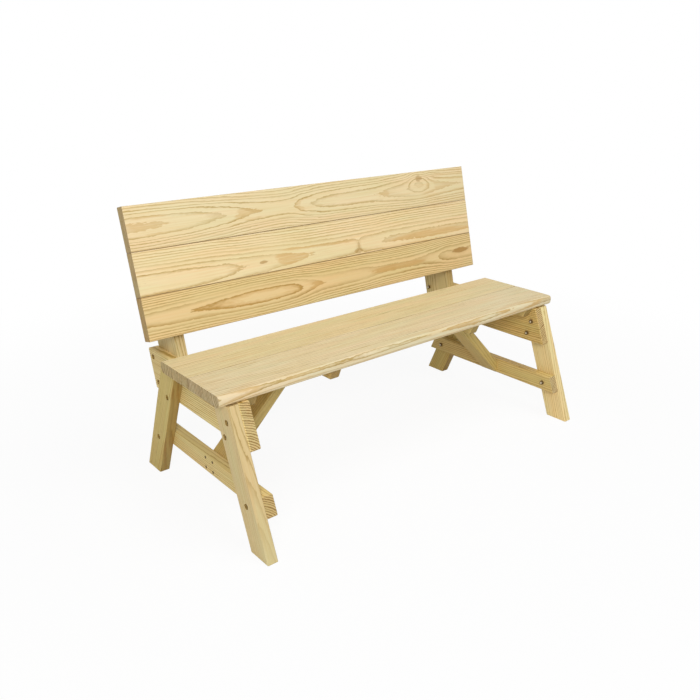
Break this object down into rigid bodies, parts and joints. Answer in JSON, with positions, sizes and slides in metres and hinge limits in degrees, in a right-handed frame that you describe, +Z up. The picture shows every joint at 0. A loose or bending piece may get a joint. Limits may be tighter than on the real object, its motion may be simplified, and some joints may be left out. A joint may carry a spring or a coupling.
{
  "type": "convertible picnic table bench",
  "caption": "Timber garden bench whose slatted back swings over on two posts and becomes a level table top, locked by two push-in pins.",
  "frame": {"origin": "on the ground, midway between the ends and midway between front and rear", "axes": "+X along the bench to its right end as seen by a sitter looking at it, +Y from the front edge of the seat towards the back, +Z up"},
  "size_m": [1.524, 0.819, 0.9339],
  "materials": {
    "timber": "planed, unfinished",
    "fastener_steel": "dull coated",
    "pin_steel": "zinc plated"
  },
  "bodies": {
    "frame": {"front_leg_left": "timber", "front_leg_right": "timber", "rear_leg_left": "timber", "rear_leg_right": "timber", "upper_rail_left": "timber", "upper_rail_right": "timber", "lower_rail_left": "timber", "lower_rail_right": "timber", "brace_left": "timber", "brace_right": "timber", "back_post_left": "timber", "back_post_right": "timber", "seat_board_front": "timber", "seat_board_rear": "timber", "seat_end_cleat_left": "timber", "seat_end_cleat_right": "timber", "seat_cross_cleat_left": "timber", "seat_cross_cleat_right": "timber", "leg_bolts": "fastener_steel", "post_bolts": "fastener_steel", "pivot_bolts": "fastener_steel", "leg_washers": "fastener_steel", "leg_nuts": "fastener_steel", "post_washers": "fastener_steel", "post_nuts": "fastener_steel", "pivot_spacers": "fastener_steel", "pivot_washers": "fastener_steel", "pivot_nuts": "fastener_steel", "brace_foot_screws": "fastener_steel", "brace_head_screws": "fastener_steel", "seat_cleat_screws": "fastener_steel", "end_cleat_side_screws": "fastener_steel"},
    "back": {"back_board_bottom": "timber", "back_board_middle": "timber", "back_board_top": "timber", "back_batten_left": "timber", "back_batten_right": "timber", "back_middle_cleat": "timber", "batten_screws": "fastener_steel", "back_cleat_screws": "fastener_steel"},
    "left_pin": {"lock_pin_left": "pin_steel"},
    "right_pin": {"lock_pin_right": "pin_steel"}
  },
  "joints": [
    {"name": "back_swing", "type": "hinge", "parent": "frame", "child": "back", "pos_m": [0, 0.30355, 0.677], "axis": [-1, 0, 0], "range_deg": [0, 76]},
    {"name": "left_pin_push", "type": "slide", "parent": "frame", "child": "left_pin", "axis": [1, 0, 0], "range_m": [0, 0.038]},
    {"name": "right_pin_push", "type": "slide", "parent": "frame", "child": "right_pin", "axis": [-1, 0, 0], "range_m": [0, 0.038]}
  ]
}
